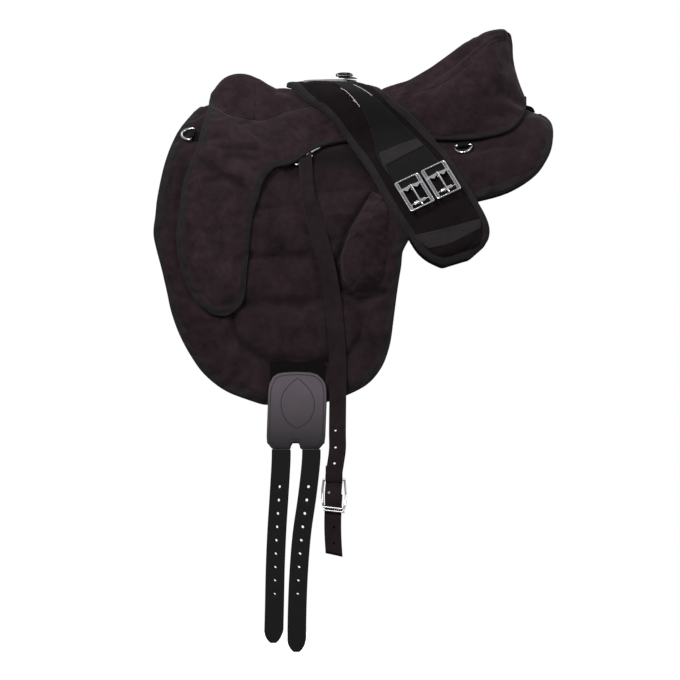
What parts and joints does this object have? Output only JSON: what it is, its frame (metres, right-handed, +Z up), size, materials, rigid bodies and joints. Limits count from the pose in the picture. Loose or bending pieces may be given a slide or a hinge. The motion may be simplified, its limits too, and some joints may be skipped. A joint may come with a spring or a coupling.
{
  "type": "treeless saddle",
  "caption": "Treeless saddle of padded suede with flaps, stirrup straps and girth straps, and a short padded girth laid over its seat.",
  "frame": {"origin": "underside of the pads on the spine line, at the seat's lowest station", "axes": "+X towards the cantle, +Y to the off side, +Z up"},
  "size_m": [0.658, 0.5124, 1.0295],
  "materials": {
    "chrome": "polished",
    "foam": "closed-cell foam, matt",
    "leather": "smooth leather, satin",
    "stiffener": "moulded sheet, matt",
    "strap_suede": "synthetic suede strap, matt",
    "suede": "synthetic suede, napped, matt",
    "suede_dark": "synthetic suede, napped, matt",
    "webbing": "woven webbing, matt"
  },
  "bodies": {
    "saddle_body": {"billet_patch_near": "leather", "billet_patch_off": "leather", "cantle_foam": "foam", "cantle_tab": "webbing", "front_tab_near": "webbing", "front_tab_off": "webbing", "girth_carrier_near": "suede_dark", "girth_carrier_off": "suede_dark", "hanger_ring_near": "chrome", "hanger_ring_off": "chrome", "hanger_webbing": "webbing", "knee_flap_near": "suede", "knee_flap_off": "suede", "pad_near": "suede", "pad_off": "suede", "pommel_foam": "foam", "pommel_insert": "stiffener", "rear_tab_near": "webbing", "rear_tab_off": "webbing", "seat_cover": "suede", "seat_foam": "foam", "spine_strip": "suede_dark", "thigh_block_near": "suede", "thigh_block_off": "suede", "underpanel_near": "suede_dark", "underpanel_off": "suede_dark"},
    "girth": {"girth_buckle_front_near": "chrome", "girth_buckle_front_off": "chrome", "girth_buckle_rear_near": "chrome", "girth_buckle_rear_off": "chrome", "girth_keeper_near": "suede_dark", "girth_keeper_off": "suede_dark", "girth_pad": "suede_dark", "girth_ring_tab": "webbing", "girth_webbing_near": "webbing", "girth_webbing_off": "webbing"},
    "stirrup_strap_near": {"stirrup_strap_near": "strap_suede"},
    "stirrup_buckle_near": {"stirrup_buckle_near": "chrome", "stirrup_loop_near": "strap_suede"},
    "billet_front_near": {"billet_front_near": "leather"},
    "billet_rear_near": {"billet_rear_near": "leather"},
    "front_ring_near": {"front_ring_near": "chrome"},
    "rear_ring_near": {"rear_ring_near": "chrome"},
    "girth_roller_front_near": {"girth_roller_front_near": "chrome"},
    "girth_tongue_front_near": {"girth_tongue_front_near": "chrome"},
    "girth_roller_rear_near": {"girth_roller_rear_near": "chrome"},
    "girth_tongue_rear_near": {"girth_tongue_rear_near": "chrome"},
    "stirrup_strap_off": {"stirrup_strap_off": "strap_suede"},
    "stirrup_buckle_off": {"stirrup_buckle_off": "chrome", "stirrup_loop_off": "strap_suede"},
    "billet_front_off": {"billet_front_off": "leather"},
    "billet_rear_off": {"billet_rear_off": "leather"},
    "front_ring_off": {"front_ring_off": "chrome"},
    "rear_ring_off": {"rear_ring_off": "chrome"},
    "girth_roller_front_off": {"girth_roller_front_off": "chrome"},
    "girth_tongue_front_off": {"girth_tongue_front_off": "chrome"},
    "girth_roller_rear_off": {"girth_roller_rear_off": "chrome"},
    "girth_tongue_rear_off": {"girth_tongue_rear_off": "chrome"},
    "girth_ring": {"girth_ring": "chrome"}
  },
  "joints": [
    {"name": "girth_lift_off", "type": "slide", "parent": "saddle_body", "child": "girth", "axis": [-0.4472, 0, 0.8944], "range_m": [0, 0.35]},
    {"name": "strap_swing_near", "type": "hinge", "parent": "saddle_body", "child": "stirrup_strap_near", "pos_m": [-0.09048, -0.13379, -0.03869], "axis": [-0.7095, -0.5624, -0.4247], "range_deg": [0, 100]},
    {"name": "stirrup_buckle_swing_near", "type": "hinge", "parent": "stirrup_strap_near", "child": "stirrup_buckle_near", "pos_m": [-0.04277, -0.24706, -0.56453], "axis": [-1, 0, 0], "range_deg": [-30, 60]},
    {"name": "billet_swing_front_near", "type": "hinge", "parent": "saddle_body", "child": "billet_front_near", "pos_m": [-0.13028, -0.24634, -0.51641], "axis": [-1, 0, 0], "range_deg": [-15, 90]},
    {"name": "billet_swing_rear_near", "type": "hinge", "parent": "saddle_body", "child": "billet_rear_near", "pos_m": [-0.08028, -0.24498, -0.51641], "axis": [-1, 0, 0], "range_deg": [-15, 90]},
    {"name": "front_ring_near_lift", "type": "hinge", "parent": "saddle_body", "child": "front_ring_near", "pos_m": [-0.27603, -0.12369, 0.00557], "axis": [0.2056, 0.7275, 0.6546], "range_deg": [0, 110]},
    {"name": "rear_ring_near_lift", "type": "hinge", "parent": "saddle_body", "child": "rear_ring_near", "pos_m": [0.17108, -0.11882, -0.01238], "axis": [-0.9868, 0.1434, -0.0749], "range_deg": [0, 110]},
    {"name": "roller_spin_front_near", "type": "hinge", "parent": "girth", "child": "girth_roller_front_near", "pos_m": [0.09867, -0.20484, -0.10641], "axis": [0.893, 0.1507, 0.424], "continuous": true},
    {"name": "tongue_swing_front_near", "type": "hinge", "parent": "girth", "child": "girth_tongue_front_near", "pos_m": [0.08422, -0.18694, -0.08235], "axis": [-0.893, -0.1507, -0.424], "range_deg": [0, 100]},
    {"name": "roller_spin_rear_near", "type": "hinge", "parent": "girth", "child": "girth_roller_rear_near", "pos_m": [0.14243, -0.19745, -0.08563], "axis": [0.893, 0.1507, 0.424], "continuous": true},
    {"name": "tongue_swing_rear_near", "type": "hinge", "parent": "girth", "child": "girth_tongue_rear_near", "pos_m": [0.12798, -0.17956, -0.06157], "axis": [-0.893, -0.1507, -0.424], "range_deg": [0, 100]},
    {"name": "strap_swing_off", "type": "hinge", "parent": "saddle_body", "child": "stirrup_strap_off", "pos_m": [-0.09048, 0.13379, -0.03869], "axis": [0.7095, -0.5624, 0.4247], "range_deg": [0, 100]},
    {"name": "stirrup_buckle_swing_off", "type": "hinge", "parent": "stirrup_strap_off", "child": "stirrup_buckle_off", "pos_m": [-0.04277, 0.24706, -0.56453], "axis": [1, 0, 0], "range_deg": [-30, 60]},
    {"name": "billet_swing_front_off", "type": "hinge", "parent": "saddle_body", "child": "billet_front_off", "pos_m": [-0.13028, 0.24634, -0.51641], "axis": [1, 0, 0], "range_deg": [-15, 90]},
    {"name": "billet_swing_rear_off", "type": "hinge", "parent": "saddle_body", "child": "billet_rear_off", "pos_m": [-0.08028, 0.24498, -0.51641], "axis": [1, 0, 0], "range_deg": [-15, 90]},
    {"name": "front_ring_off_lift", "type": "hinge", "parent": "saddle_body", "child": "front_ring_off", "pos_m": [-0.27603, 0.12369, 0.00557], "axis": [-0.2056, 0.7275, -0.6546], "range_deg": [0, 110]},
    {"name": "rear_ring_off_lift", "type": "hinge", "parent": "saddle_body", "child": "rear_ring_off", "pos_m": [0.17108, 0.11882, -0.01238], "axis": [0.9868, 0.1434, 0.0749], "range_deg": [0, 110]},
    {"name": "roller_spin_front_off", "type": "hinge", "parent": "girth", "child": "girth_roller_front_off", "pos_m": [0.09867, 0.20484, -0.10641], "axis": [0.893, -0.1507, 0.424], "continuous": true},
    {"name": "tongue_swing_front_off", "type": "hinge", "parent": "girth", "child": "girth_tongue_front_off", "pos_m": [0.08422, 0.18694, -0.08235], "axis": [0.893, -0.1507, 0.424], "range_deg": [0, 100]},
    {"name": "roller_spin_rear_off", "type": "hinge", "parent": "girth", "child": "girth_roller_rear_off", "pos_m": [0.14243, 0.19745, -0.08563], "axis": [0.893, -0.1507, 0.424], "continuous": true},
    {"name": "tongue_swing_rear_off", "type": "hinge", "parent": "girth", "child": "girth_tongue_rear_off", "pos_m": [0.12798, 0.17956, -0.06157], "axis": [0.893, -0.1507, 0.424], "range_deg": [0, 100]},
    {"name": "girth_ring_turn", "type": "hinge", "parent": "girth", "child": "girth_ring", "pos_m": [-0.02591, 0, 0.10514], "axis": [1, 0, 0], "range_deg": [0, 130]}
  ]
}
